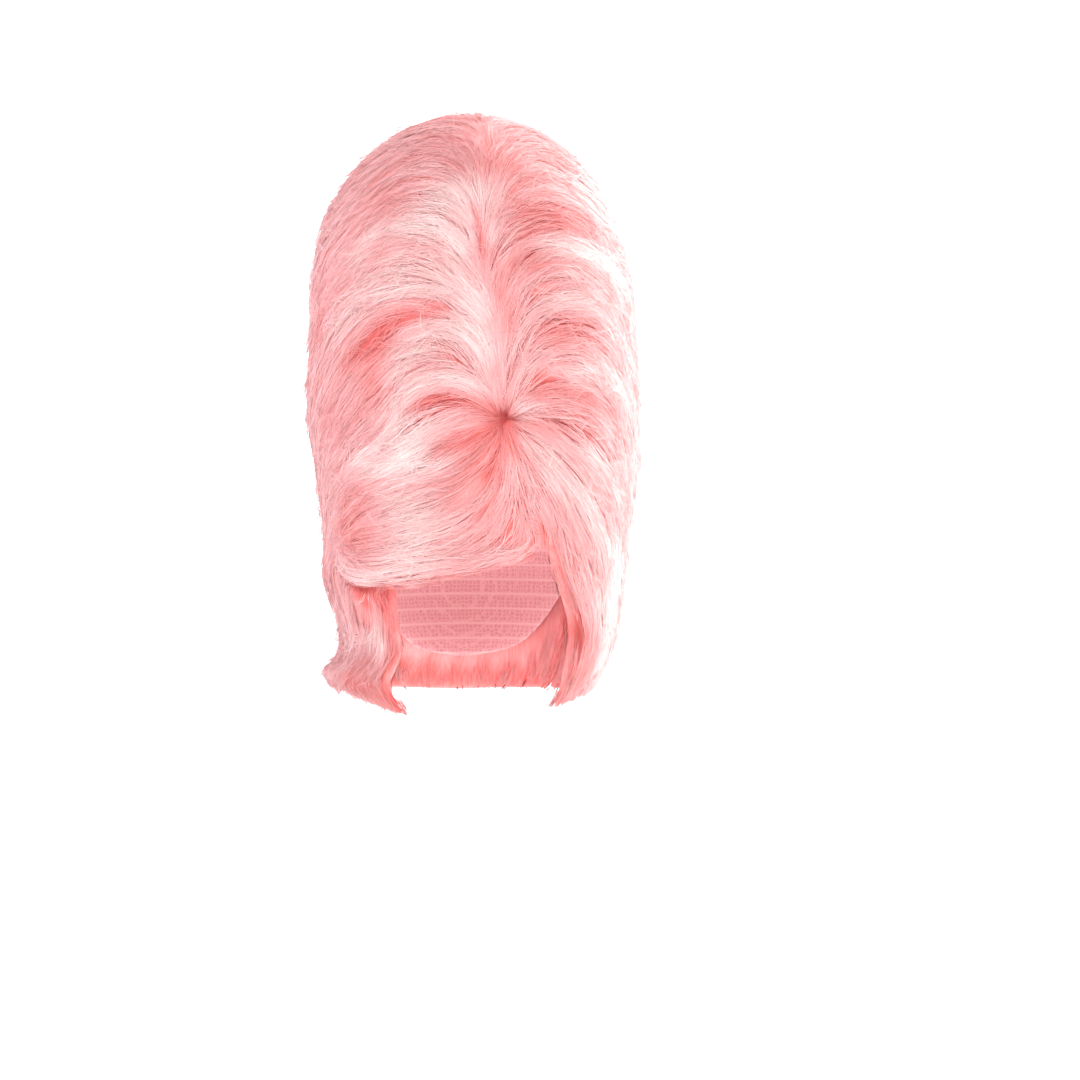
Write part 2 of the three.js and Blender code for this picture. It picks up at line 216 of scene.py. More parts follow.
def section_at(height):
    """The shares left, right, front and back at heights, on a curve through every section."""
    x = np.clip(height / TOWER_HEIGHT, SECTIONS[0, 0], SECTIONS[-1, 0])
    last = len(SECTIONS) - 1
    i = np.clip(np.searchsorted(SECTIONS[:, 0], x), 1, last)
    before, start, end, after = [SECTIONS[np.clip(i + n, 0, last)] for n in (-2, -1, 0, 1)]
    span = end[..., :1] - start[..., :1]
    t = (x[..., None] - start[..., :1]) / span
    slope_start = (end - before) / (end[..., :1] - before[..., :1]) * span
    slope_end = (after - start) / (after[..., :1] - start[..., :1]) * span
    made = (2 * t**3 - 3 * t**2 + 1) * start + (t**3 - 2 * t**2 + t) * slope_start
    made += (3 * t**2 - 2 * t**3) * end + (t**3 - t**2) * slope_end
    return made[..., 1], made[..., 2], made[..., 3], made[..., 4]


def drift_at(climb):
    """How far the dome's middle has moved sideways, since its sides aren't alike."""
    return (SECTIONS[-1, 2] - SECTIONS[-1, 1]) / 2 * HALF_WIDTH * (1 - np.cos(climb))


def on_form(around, down, inset):
    """The points at places on the outer form, sunk inwards by inset."""
    angle = around / HALF_WIDTH
    climb = np.maximum(math.pi / 2 - down / DOME_HEIGHT, 0)
    height = QUARTER + SHOULDER - down
    left, right, front, back = section_at(np.minimum(height, SHOULDER))
    wide = np.where(np.sin(angle) > 0, right, left) * HALF_WIDTH - inset
    deep = np.where(np.cos(angle) > 0, front, back) * TOWER_DEPTH / 2 - inset
    z = np.where(climb > 0, SHOULDER + (DOME_HEIGHT - inset) * np.sin(climb), height)
    x = np.cos(climb) * np.sin(angle) * wide + drift_at(climb)
    return np.stack([x, -np.cos(climb) * np.cos(angle) * deep, z], axis=-1)


def place_of(points):
    """The places on the outer form that points near it belong to, as around and down."""
    x, y, z = points[..., 0], points[..., 1], points[..., 2]
    left, right, front, back = section_at(np.minimum(z, SHOULDER))
    climb = np.arcsin(np.clip((z - SHOULDER) / DOME_HEIGHT, 0, 1))
    x = x - drift_at(climb)
    x = x / (np.where(x > 0, right, left) * HALF_WIDTH)
    y = -y / (np.where(y < 0, front, back) * TOWER_DEPTH / 2)
    climb = np.arctan2(np.maximum(z - SHOULDER, 0) / DOME_HEIGHT, np.hypot(x, y))
    down = np.where(z > SHOULDER, DOME_HEIGHT * (math.pi / 2 - climb), QUARTER + SHOULDER - z)
    return np.arctan2(x, y) * HALF_WIDTH, down


def outwards(points):
    """Unit vectors that point away from the form at points."""
    away = points * [1, 1, 0]
    away[..., 2] = np.maximum(points[..., 2] - SHOULDER, 0)
    return away / (np.linalg.norm(away, axis=-1, keepdims=True) + 1e-9)


def smooth(value, low, high):
    """0 below low, 1 above high, and a smooth rise between."""
    t = np.clip((value - low) / (high - low), 0, 1)
    return t * t * (3 - 2 * t)


def curve(path, spacing):
    """Places evenly spaced along a smooth curve through a path of (degrees round, share of TOWER_HEIGHT)."""
    knots = []
    for degrees, share in path:
        height = share * TOWER_HEIGHT
        climb = math.asin(min(1, max(0, (height - SHOULDER) / DOME_HEIGHT)))
        down = DOME_HEIGHT * (math.pi / 2 - climb) if climb > 0 else QUARTER + SHOULDER - height
        knots.append((math.radians(degrees) * HALF_WIDTH, down))
    knots = np.array([knots[0]] + knots + [knots[-1]])
    t = np.linspace(0, 1, 24, endpoint=False)[:, None]
    fine = []
    for a, b, c, d in zip(knots, knots[1:], knots[2:], knots[3:]):
        start, end = (c - a) / 2, (d - b) / 2
        bend = (2 * b - 2 * c + start + end) * t**3
        fine.append(bend + (3 * c - 3 * b - 2 * start - end) * t**2 + start * t + b)
    fine = np.vstack(fine + [knots[-1:]])
    run = np.concatenate([[0], np.cumsum(np.linalg.norm(np.diff(fine, axis=0), axis=1))])
    at = np.linspace(0, run[-1], max(2, round(run[-1] / spacing) + 1))
    return np.interp(at, run, fine[:, 0]), np.interp(at, run, fine[:, 1])


# Where the fibres are laid, as maps over the outer form with one value a cell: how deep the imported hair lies
# under it, where there is any, and the way it is combed. Real fibres bridge the seams between packed runs.
ROUND_CELLS = 288
DOWN_CELLS = 200
cell_around, cell_down = np.meshgrid(
    np.arange(ROUND_CELLS) / ROUND_CELLS * TURN, np.linspace(0, DOWN_END, DOWN_CELLS + 1), indexing="ij"
)
cells = on_form(cell_around, cell_down, 0)


def read_map(values, around, down):
    """A map's values at places, mixed between its cells."""
    x = around / TURN % 1 * ROUND_CELLS
    y = np.clip(down / DOWN_END * DOWN_CELLS, 0, DOWN_CELLS - 1e-6)
    i, j = x.astype(int) % ROUND_CELLS, y.astype(int)
    k = (i + 1) % ROUND_CELLS
    fx, fy = x - np.floor(x), y - j
    if values.ndim == 3:
        fx, fy = fx[..., None], fy[..., None]
    above = values[i, j] * (1 - fx) + values[k, j] * fx
    below = values[i, j + 1] * (1 - fx) + values[k, j + 1] * fx
    return above * (1 - fy) + below * fy


def blur(values, reach):
    """A map with every cell mixed with its neighbours."""
    for axis in (0, 1):
        total, weights = np.zeros_like(values), 0
        for n in range(-2 * reach, 2 * reach + 1):
            weight = math.exp(-(n**2) / (2 * (reach / 1.5) ** 2))
            if axis == 0:
                total += weight * np.roll(values, n, axis=0)
            else:
                index = np.clip(np.arange(DOWN_CELLS + 1) + n, 0, DOWN_CELLS)
                total += weight * values[:, index]
            weights += weight
        values = total / weights
    return values


def widen(values, cells_wide):
    """A map with its higher values spread to their neighbours."""
    for n in range(cells_wide):
        values = np.maximum(values, np.maximum(np.roll(values, 1, axis=0), np.roll(values, -1, axis=0)))
        values = np.maximum(values, np.maximum(values[:, np.maximum(row_index - 1, 0)], values[:, row_after]))
    return values


def cast(starts, ends, pieces):
    """How far from each start the pieces' surface lies on the way to its end and on, or NaN."""
    corners, faces = [], []
    for piece in pieces:
        first = len(corners)
        corners += [v.co.copy() for v in piece.data.vertices]
        faces += [[first + i for i in face.vertices] for face in piece.data.polygons]
    surface = BVHTree.FromPolygons(corners, faces)
    found = np.full(starts.shape[:2], np.nan)
    for i in range(starts.shape[0]):
        for j in range(starts.shape[1]):
            start = Vector(starts[i, j] * MM)
            distance = surface.ray_cast(start, Vector(ends[i, j] * MM) - start)[3]
            if distance is not None:
                found[i, j] = distance / MM
    return found


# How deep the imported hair's outside lies, at its outermost parts, so that the fibres bridge the seams
row_index = np.arange(DOWN_CELLS + 1)
row_after = np.minimum(row_index + 1, DOWN_CELLS)
RAY_START = 20
DEEPEST = 14
BRIDGED = 5  # cells each way
BRIDGED_AT_PARTING = 10
PARTING_REACH = 20
FIBRES_DEEPEST = 5
GROOVE_DEPTHS = (0.8, 3)
SEAM = 2
# From the whorl up, in degrees round and shares of TOWER_HEIGHT
PARTING = [(2, 0.03), (0, 0.12), (-1, 0.3), (-4, 0.43), (-6, 0.56), (-5, 0.68)]
depth = cast(on_form(cell_around, cell_down, -RAY_START), cells, [pad] + runs) - RAY_START
covered = (depth < DEEPEST).astype(float)
covered = 1 - widen(1 - widen(covered, SEAM), SEAM)
packed_depth = np.minimum(np.nan_to_num(depth, nan=DEEPEST), DEEPEST)
parting = on_form(*curve(PARTING, 5), 0)
from_parting = np.sqrt(np.min([((cells - point) ** 2).sum(axis=2) for point in parting], axis=0))
at_parting = np.exp(-((from_parting / PARTING_REACH) ** 2))
depth = -widen(-packed_depth, BRIDGED) * (1 - at_parting)
depth -= widen(-packed_depth, BRIDGED_AT_PARTING) * at_parting
depth = blur(np.minimum(depth, FIBRES_DEEPEST), 3)
grooves = covered * smooth(packed_depth - depth, *GROOVE_DEPTHS)

# How deep the inside of the hair lies where it hangs below the cap, and where there is any
axis = cells * [0, 0, 1]
to_cap = cast(axis, cells, [cap])
to_hair = cast(axis, cells, runs)
inner_depth = np.linalg.norm(cells - axis, axis=2) - to_hair
lined = (np.nan_to_num(to_hair, nan=999) < np.nan_to_num(to_cap, nan=900)).astype(float)
inner_depth = blur(np.nan_to_num(inner_depth, nan=16), 1)


# The ways that the hair is combed. It fans out of the whorl and the parting, falls to both sides, and hangs
# straight behind. Each way runs from its root through points of degrees round and shares of TOWER_HEIGHT.
COMBED = {
    "fringe_edge": [
        (4, 0.0), (14, -0.23), (15, -0.3), (3, -0.34), (-13, -0.37), (-37, -0.41), (-58, -0.38),
        (-74, -0.3),
    ],
    "fringe_low": [
        (3, 0.03), (4, -0.08), (2, -0.18), (-6, -0.27), (-20, -0.32), (-35, -0.34), (-50, -0.36),
        (-66, -0.34),
    ],
    "fringe_middle": [
        (2, 0.04), (1, -0.05), (-4, -0.14), (-14, -0.21), (-29, -0.25), (-45, -0.28), (-62, -0.3),
    ],
    "fringe_high": [
        (1, 0.04), (-2, -0.02), (-9, -0.08), (-20, -0.12), (-33, -0.15), (-48, -0.19), (-66, -0.27),
    ],
    "left_1": [
        (0, 0.05), (-7, 0.02), (-16, -0.02), (-27, -0.06), (-39, -0.08), (-53, -0.12), (-70, -0.22),
        (-78, -0.32),
    ],
    "left_2": [
        (0, 0.06), (-8, 0.07), (-15, 0.05), (-24, 0.01), (-34, -0.04), (-46, -0.08), (-62, -0.13),
        (-76, -0.25),
    ],
    "left_3": [
        (0, 0.08), (-5, 0.14), (-13, 0.18), (-23, 0.17), (-32, 0.12), (-40, 0.04), (-54, -0.03),
        (-72, -0.12), (-84, -0.3),
    ],
    "left_4": [
        (0, 0.1), (-2, 0.21), (-7, 0.29), (-17, 0.34), (-28, 0.33), (-38, 0.27), (-50, 0.18),
        (-62, 0.08), (-80, -0.07), (-90, -0.3),
    ],
    "left_5": [
        (0, 0.19), (-4, 0.32), (-10, 0.39), (-20, 0.44), (-33, 0.44), (-46, 0.41), (-60, 0.33),
        (-74, 0.21), (-90, 0.0), (-96, -0.3),
    ],
    "left_6": [
        (-1, 0.32), (-6, 0.41), (-13, 0.49), (-21, 0.54), (-33, 0.56), (-46, 0.52), (-60, 0.45),
        (-76, 0.33), (-92, 0.12), (-100, -0.2),
    ],
    "left_7": [
        (-4, 0.43), (-8, 0.51), (-15, 0.58), (-26, 0.61), (-37, 0.6), (-49, 0.56), (-62, 0.48),
        (-80, 0.36), (-98, 0.1),
    ],
    "crown_left_1": [
        (-6, 0.58), (-10, 0.63), (-19, 0.67), (-31, 0.67), (-44, 0.62), (-57, 0.54), (-75, 0.43),
        (-95, 0.25),
    ],
    "crown_left_2": [
        (-6, 0.59), (-10, 0.68), (-20, 0.74), (-33, 0.74), (-46, 0.68), (-58, 0.59), (-76, 0.48),
        (-98, 0.3),
    ],
    "crown_left_3": [
        (-5, 0.6), (-7, 0.7), (-14, 0.79), (-28, 0.82), (-44, 0.78), (-60, 0.68), (-82, 0.55),
        (-105, 0.35),
    ],
    "crown_left_4": [
        (-5, 0.6), (-5, 0.73), (-10, 0.86), (-33, 0.9), (-60, 0.83), (-90, 0.68), (-115, 0.45),
    ],
    "crown_right_4": [(-4, 0.6), (-1, 0.75), (11, 0.86), (35, 0.9), (62, 0.83), (90, 0.66), (115, 0.4)],
    "crown_right_3": [
        (-4, 0.6), (-1, 0.7), (8, 0.79), (24, 0.82), (42, 0.77), (60, 0.66), (80, 0.52), (105, 0.3),
    ],
    "crown_right_2": [
        (-5, 0.59), (1, 0.65), (10, 0.71), (23, 0.73), (37, 0.7), (52, 0.6), (72, 0.48), (98, 0.25),
    ],
    "right_7": [
        (-6, 0.53), (-2, 0.59), (5, 0.63), (17, 0.66), (30, 0.64), (44, 0.57), (62, 0.47),
        (90, 0.2),
    ],
    "right_6": [
        (-4, 0.41), (-1, 0.49), (6, 0.55), (18, 0.58), (31, 0.57), (44, 0.52), (60, 0.41),
        (86, 0.1),
    ],
    "right_5": [(-1, 0.28), (1, 0.36), (7, 0.46), (19, 0.52), (32, 0.51), (46, 0.43), (62, 0.3), (84, 0.0)],
    "right_4": [
        (1, 0.18), (4, 0.28), (11, 0.37), (23, 0.41), (37, 0.4), (51, 0.31), (65, 0.16), (80, -0.1),
    ],
    "right_3": [
        (1, 0.12), (7, 0.21), (17, 0.27), (30, 0.28), (42, 0.23), (55, 0.12), (66, -0.04),
        (76, -0.3),
    ],
    "right_2": [
        (2, 0.08), (11, 0.12), (23, 0.13), (35, 0.11), (46, 0.04), (56, -0.09), (63, -0.25),
        (67, -0.4),
    ],
    "right_1": [
        (2, 0.05), (11, 0.04), (22, -0.01), (33, -0.08), (43, -0.18), (52, -0.3), (58, -0.45),
        (60, -0.65),
    ],
    "temple": [
        (3, 0.04), (11, -0.04), (20, -0.11), (29, -0.21), (38, -0.32), (45, -0.43), (50, -0.58),
        (50, -0.78),
    ],
    "temple_edge": [
        (4, 0.01), (8, -0.12), (16, -0.25), (22, -0.34), (30, -0.45), (36, -0.55), (38, -0.67),
        (39, -0.78),
    ],
    "back_left": [(-130, 0.9), (-122, 0.7), (-118, 0.3), (-118, -0.3), (-120, -0.78)],
    "back": [(180, 1.0), (180, 0.9), (180, 0.6), (180, 0.1), (180, -0.4), (180, -0.78)],
    "back_left_middle": [(-155, 0.93), (-150, 0.6), (-148, 0.1), (-150, -0.78)],
    "back_right_middle": [(155, 0.93), (150, 0.6), (148, 0.1), (150, -0.78)],
    "back_right": [(130, 0.9), (122, 0.7), (118, 0.3), (118, -0.3), (120, -0.78)],
    "side_left": [(-100, 0.2), (-100, -0.1), (-98, -0.4), (-98, -0.78)],
    "side_right": [(98, 0.2), (96, -0.1), (94, -0.4), (92, -0.78)],
    "bob_left": [(-72, -0.38), (-71, -0.5), (-72, -0.65), (-74, -0.79)],
    "bob_left_face": [(-50, -0.42), (-48, -0.5), (-50, -0.6), (-50, -0.7), (-46, -0.79)],
    "bob_right": [(74, -0.35), (73, -0.5), (72, -0.65), (69, -0.78)],
}
GUIDE_SPACING = 6
GUIDE_SOFTNESS = 5
guide_points, guide_ways = [], []
for path in COMBED.values():
    line = on_form(*curve(path, GUIDE_SPACING), 0)
    way = np.gradient(line, axis=0)
    guide_points.append(line)
    guide_ways.append(way / np.linalg.norm(way, axis=1, keepdims=True))
guide_points, guide_ways = np.vstack(guide_points), np.vstack(guide_ways)
ways = np.empty_like(cells)
for i in range(ROUND_CELLS):
    apart = ((cells[i][:, None] - guide_points[None]) ** 2).sum(axis=2)
    ways[i] = (1 / (apart + GUIDE_SOFTNESS**2) ** 2) @ guide_ways
ways /= np.linalg.norm(ways, axis=2, keepdims=True) + 1e-12

# Where the hair rises into a lock and where it parts, which lifts and sinks the fibres and also paints their
# tone: the crest paler as painted highlight, the parting deeper coral as painted shade. The width in
# millimetres, the strength, and the way it runs, in degrees round and shares of TOWER_HEIGHT
CRESTS = [
    (7, 0.5, [(-5, 0.72), (-18, 0.71), (-30, 0.66)]),
    (8, 0.5, [(-7, 0.59), (-11, 0.63), (-18, 0.65)]),
    (5, 0.7, [(-14, 0.55), (-21, 0.6), (-34, 0.61), (-45, 0.59), (-50, 0.53)]),
    (10, 0.5, [(-7, 0.32), (-11, 0.4), (-20, 0.45), (-33, 0.45), (-46, 0.41), (-56, 0.35), (-64, 0.28)]),
    (9, 0.5, [(-5, 0.26), (-13, 0.31), (-23, 0.31), (-30, 0.26), (-34, 0.19), (-34, 0.1), (-31, -0.02)]),
    (4, 0.7, [(0, 0.09), (-6, 0.15), (-14, 0.18), (-23, 0.18), (-28, 0.14)]),
    (5, 0.4, [(-18, 0.1), (-26, 0.05), (-31, -0.01)]),
    (8, 0.8, [(-20, -0.07), (-30, -0.05), (-40, -0.07), (-50, -0.05)]),
    (10, 0.6, [(-37, -0.19), (-27, -0.21), (-30, -0.25), (-27, -0.3), (-34, -0.34)]),
    (3, 0.7, [(-67, -0.33), (-60, -0.37), (-50, -0.39), (-41, -0.38)]),
    (8, 0.7, [(4, 0.04), (12, -0.03), (22, -0.1), (33, -0.19), (41, -0.28), (51, -0.35), (61, -0.46)]),
    (4, 0.6, [(2, 0.08), (7, 0.1), (13, 0.1)]),
    (6, 0.6, [(27, 0.2), (41, 0.2), (50, 0.16), (57, 0.11)]),
    (5, 0.6, [(22, 0.01), (35, -0.04), (43, -0.1), (48, -0.17)]),
    (5, 0.7, [(17, 0.57), (31, 0.56), (43, 0.52), (56, 0.46)]),
    (5, 0.4, [(-4, 0.58), (3, 0.55)]),
    (7, 0.5, [(23, 0.41), (35, 0.39), (44, 0.33)]),
    (7, 0.6, [(-70, -0.6), (-55, -0.58)]),
    (8, 0.6, [(47, -0.46), (52, -0.58), (57, -0.67)]),
]
HOLLOWS = [
    (2, 1.0, [(-8, 0.66), (-7, 0.62), (-6, 0.57)]),
    (2, 0.5, [(-6, 0.57), (-6, 0.48)]),
    (7, 0.5, [(-21, 0.38), (-35, 0.35), (-46, 0.29), (-54, 0.24)]),
    (9, 0.7, [(-40, 0.27), (-43, 0.2), (-41, 0.15)]),
    (6, 0.7, [(-28, 0.11), (-23, 0.13), (-18, 0.12)]),
    (6, 0.9, [(-9, 0.11), (-4, 0.1), (0, 0.07)]),
    (5, 1.0, [(0, 0.06), (-5, 0.03), (-14, 0.0), (-22, -0.03)]),
    (8, 0.6, [(0, 0.01), (-6, -0.04), (-13, -0.08), (-19, -0.11)]),
    (4, 0.9, [(4, 0.0), (8, -0.04), (11, -0.07)]),
    (6, 0.6, [(2, 0.01), (0, -0.07), (-4, -0.1)]),
    (9, 0.4, [(-55, -0.18), (-60, -0.25), (-52, -0.28)]),
    (3, 0.5, [(-10, -0.21), (-3, -0.19)]),
    (5, 0.6, [(11, 0.13), (20, 0.15), (32, 0.13), (44, 0.1)]),
    (5, 0.7, [(7, 0.05), (18, 0.03), (25, -0.01)]),
    (4, 0.5, [(14, -0.24), (16, -0.28)]),
    (8, 0.7, [(13, 0.64), (23, 0.66), (34, 0.63)]),
    (9, 0.6, [(-4, 0.55), (2, 0.51), (7, 0.54), (11, 0.52)]),
    (5, 0.5, [(-1, 0.45), (3, 0.36)]),
    (8, 0.4, [(0, 0.3), (-1, 0.2), (-2, 0.13)]),
    (4, 0.5, [(0, 0.1), (1, 0.07)]),
    (8, 0.4, [(-2, 0.8), (8, 0.81)]),
    (10, 0.3, [(-42, 0.7), (-35, 0.67)]),
    (6, 0.5, [(-71, 0.35), (-65, 0.26)]),
    (5, 0.4, [(6, 0.73), (9, 0.68)]),
    (8, 0.4, [(19, 0.31), (27, 0.34), (36, 0.31)]),
    (5, 0.3, [(-60, -0.45), (-64, -0.57), (-60, -0.64)]),
    (5, 0.7, [(-63, -0.71), (-53, -0.73), (-42, -0.76)]),
    (6, 0.6, [(35, -0.54), (42, -0.62), (44, -0.7)]),
]
swell_and_painted_light = np.zeros(cell_down.shape)
for sign, table in ((1, CRESTS), (-1, HOLLOWS)):
    for width, strength, path in table:
        line = on_form(*curve(path, width / 2), 0)
        apart = np.min([((cells - point) ** 2).sum(axis=2) for point in line], axis=0)
        swell_and_painted_light += sign * strength * np.exp(-apart / (2 * width**2))

# Painted light on the packed hair: paler on the crests as painted highlight, deeper coral in the hollows as
# painted shade, and darker in the grooves of the seams as painted shade
packed_tone = 0.42 + 0.3 * np.clip(swell_and_painted_light, -1, 1) - 0.3 * blur(grooves, 1)
for run in [pad] + runs:
    points = np.empty(len(run.data.vertices) * 3)
    run.data.vertices.foreach_get("co", points)
    points = points.reshape(-1, 3) / MM
    tone = run.data.attributes.new("tone", "FLOAT", "POINT")
    tone.data.foreach_set("value", read_map(packed_tone, *place_of(points)))

# The single fibres: smooth straight nylon, 0.07 mm thick. These are tapered slivers as wide as the few fibres
# that cling together, laid in many short lengths from root to tip along the ways that the hair is combed.
rng = np.random.default_rng(7)
FIBRE_WIDTH = 0.36
SUBSTEPS = 20
CLUMP = 4  # fibres
CLUMP_SPREAD = 1.6
OWN_SHADE = 0.28
SWINGS = [(0.16, 24), (0.1, 9)]  # radians to each side, and the size of the patches that swing together


def noise_over(points, size):
    """A smooth change over space, about -1 to 1, whose patches are about this size."""
    p = points * (2 * math.pi / size)
    x, y, z = p[..., 0], p[..., 1], p[..., 2]
    total = np.sin(x + 1.3 * np.sin(0.7 * z + 0.5)) + np.sin(1.1 * z + 1.7 * np.sin(0.6 * y) + 2)
    return (total + np.sin(0.9 * y + 1.1 * np.sin(0.8 * x + 1) + 4) + np.sin(0.8 * (x - z) + 1.3 * y)) / 4


def narrowing(down):
    """How much narrower the form is there than at the dome's foot, since around is measured there."""
    return np.maximum(np.sin(np.minimum(down, QUARTER) / DOME_HEIGHT), 0.12)


def starts_in(count, first, last, top, bottom, chance):
    """Random places for a number of fibres' clumps, in a range of degrees round and millimetres down, kept by
    a chance given as a map."""
    tries = count * 60 // CLUMP
    around = np.radians(rng.uniform(first, last, tries)) * HALF_WIDTH
    down = rng.uniform(top, bottom, tries)
    keep = rng.uniform(0, 1, tries) < narrowing(down) * read_map(chance, around, down)
    return around[keep][: count // CLUMP], down[keep][: count // CLUMP]


def combed_paths(around, down, length, stray, curl, allowed):
    """Paths that follow the combing, as around and down at each step, and how many steps are usable."""
    count = len(around)
    step = length * rng.uniform(0.75, 1.3, count) / SUBSTEPS
    turn = rng.normal(0, stray, count)
    phase = rng.uniform(0, 2 * math.pi, count)
    rounds, downs, inside = [around], [down], []
    for n in range(SUBSTEPS):
        points = on_form(around, down, 0)
        way = read_map(ways, around, down)
        swing = turn + curl * np.sin(phase + n * step / 4)
        for strength, size in SWINGS:
            swing += strength * noise_over(points, size)
        way = way * np.cos(swing)[:, None] + np.cross(outwards(points), way) * np.sin(swing)[:, None]
        around, down = place_of(points + way * step[:, None])
        rounds.append(around)
        downs.append(down)
        inside.append(read_map(allowed, around, down) > 0.5)
    rounds = np.unwrap(np.stack(rounds, axis=1), axis=1, period=TURN)
    steps_in = np.cumprod(np.stack(inside, axis=1), axis=1).sum(axis=1)
    kept = steps_in >= 3
    return rounds[kept], np.stack(downs, axis=1)[kept], steps_in[kept]


def fibres_of(rounds, downs, steps_in, steps, spread, late=0.25):
    """Each clump's fibres, which lie beside its path and draw together towards its tip. late is how far along
    it the last of them starts."""
    clump = np.repeat(np.arange(len(rounds)), CLUMP)
    count = len(clump)
    share = np.linspace(0, 1, steps)[None]
    first = (rng.uniform(0, late, count) * steps_in[clump])[:, None]
    last = (rng.uniform(0.75, 1, count) * steps_in[clump] + rng.uniform(0, 1.5, count))[:, None]
    at = np.clip(first + (last - first) * share, 0, SUBSTEPS)
    low = np.minimum(at.astype(int), SUBSTEPS - 1)
    mix = at - low
    row = clump[:, None]
    rounds = rounds[row, low] * (1 - mix) + rounds[row, low + 1] * mix
    downs = downs[row, low] * (1 - mix) + downs[row, low + 1] * mix
    narrow = narrowing(downs)
    across, along = np.gradient(downs, axis=1), np.gradient(rounds, axis=1) * narrow
    beside = rng.normal(0, spread, count)[:, None] * (1 - 0.6 * share) / (np.hypot(across, along) + 1e-6)
    return rounds - beside * across / narrow, np.abs(downs + beside * along), clump


def lay_fibres(name, points, tone, width, facing):
    """One piece of many fibres. points are (fibre, step, xyz) in millimetres, and tone is (fibre, step).
    facing is 1 outside the hair and -1 inside it."""
    count, steps = points.shape[:2]
    along = np.gradient(points, axis=1)
    along /= np.linalg.norm(along, axis=2, keepdims=True) + 1e-9
    side = np.cross(along, outwards(points))
    side /= np.linalg.norm(side, axis=2, keepdims=True) + 1e-9
    lift = np.cross(side, along)
    share = np.linspace(0, 1, steps)[None, :, None]
    radius = (width / 2)[:, None, None] * np.sin(np.pi * (0.12 + 0.8 * share)) ** 0.6
    twist = rng.uniform(0, 2 * math.pi, (count, 1, 1))
    corners = []
    for n in range(3):
        turn = twist + n * 2 * math.pi / 3
        corners.append(points + radius * (np.cos(turn) * side + np.sin(turn) * lift))
    rings = np.stack(corners, axis=2)[:, 1:-1].reshape(count, -1, 3)
    verts = np.concatenate([points[:, :1], rings, points[:, -1:]], axis=1) * MM
    per_fibre = verts.shape[1]
    last = per_fibre - 1
    quads, tris = [], []
    for n in range(3):
        m = (n + 1) % 3
        tris += [(0, 1 + n, 1 + m), (last, last - 3 + m, last - 3 + n)]
        for ring in range(steps - 3):
            a = 1 + 3 * ring
            quads.append((a + n, a + 3 + n, a + 3 + m, a + m))
    quads, tris = np.array(quads, int).ravel(), np.array(tris, int).ravel()
    one_fibre = np.concatenate([quads, tris])
    index = (np.arange(count) * per_fibre)[:, None] + one_fibre[None]
    sizes = np.tile([4] * (len(quads) // 4) + [3] * (len(tris) // 3), count)
    mesh = bpy.data.meshes.new(name)
    mesh.vertices.add(count * per_fibre)
    mesh.vertices.foreach_set("co", verts.ravel())
    mesh.loops.add(index.size)
    mesh.loops.foreach_set("vertex_index", index.ravel())
    mesh.polygons.add(len(sizes))
    mesh.polygons.foreach_set("loop_start", np.concatenate([[0], np.cumsum(sizes)[:-1]]))
    mesh.polygons.foreach_set("use_smooth", np.ones(len(sizes), dtype=bool))
    mesh.update(calc_edges=True)
    # The light falls on the fibres as on the whole lock that they lie in
    away = np.concatenate([outwards(points[:, :1]), np.repeat(outwards(points[:, 1:-1]), 3, axis=1)], axis=1)
    away = np.concatenate([away, outwards(points[:, -1:])], axis=1).reshape(-1, 3)
    own = np.empty(len(away) * 3)
    mesh.vertices.foreach_get("normal", own)
    shading = OWN_SHADE * own.reshape(-1, 3) + (1 - OWN_SHADE) * facing * away
    mesh.normals_split_custom_set_from_vertices(shading)
    shade = mesh.attributes.new("tone", "FLOAT", "POINT")
    ring_tone = np.repeat(tone[:, 1:-1], 3, axis=1)
    shade.data.foreach_set("value", np.concatenate([tone[:, :1], ring_tone, tone[:, -1:]], axis=1).ravel())
    # Each fibre has a cell of the unwrap to itself, its sides across and its length up
    grid = math.ceil(math.sqrt(count))
    ring_of = np.array([0] + [k + 1 for k in range(steps - 2) for _ in range(3)] + [steps - 1])
    across = np.array([0.5] + [n / 3 + 0.15 for _ in range(steps - 2) for n in range(3)] + [0.5])
    cell = np.arange(count)[:, None]
    u = (cell % grid + 0.08 + 0.84 * across[one_fibre][None]) / grid
    v = (cell // grid + 0.03 + 0.94 * ring_of[one_fibre][None] / (steps - 1)) / grid
    unwrap = mesh.uv_layers.new(name="OFBake")
    unwrap.data.foreach_set("uv", np.stack([u, v], axis=-1).ravel())
    mesh.materials.append(fibre)
    piece = bpy.data.objects.new(name, mesh)
    bpy.context.collection.objects.link(piece)
    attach(piece, "root")
    return piece


fibre, tree, shader = new_material("satin_nylon_fibre")
tone_value = add_node(tree, "ShaderNodeAttribute", {"attribute_name": "tone"}).outputs["Fac"]
tree.links.new(ramp(tree, tone_value, HAIR_SHADES), shader.inputs["Base Color"])
shader.inputs["Roughness"].default_value = 0.55
shader.inputs["Specular IOR Level"].default_value = 0.3
# The painted glow of scattered light, on the fibres
shader.inputs["Emission Color"].default_value = linear(PAINTED_GLOW)
shader.inputs["Emission Strength"].default_value = GLOW_STRENGTH

CREST_LIFT = 1.6
HOLLOW_SINK = 0.5


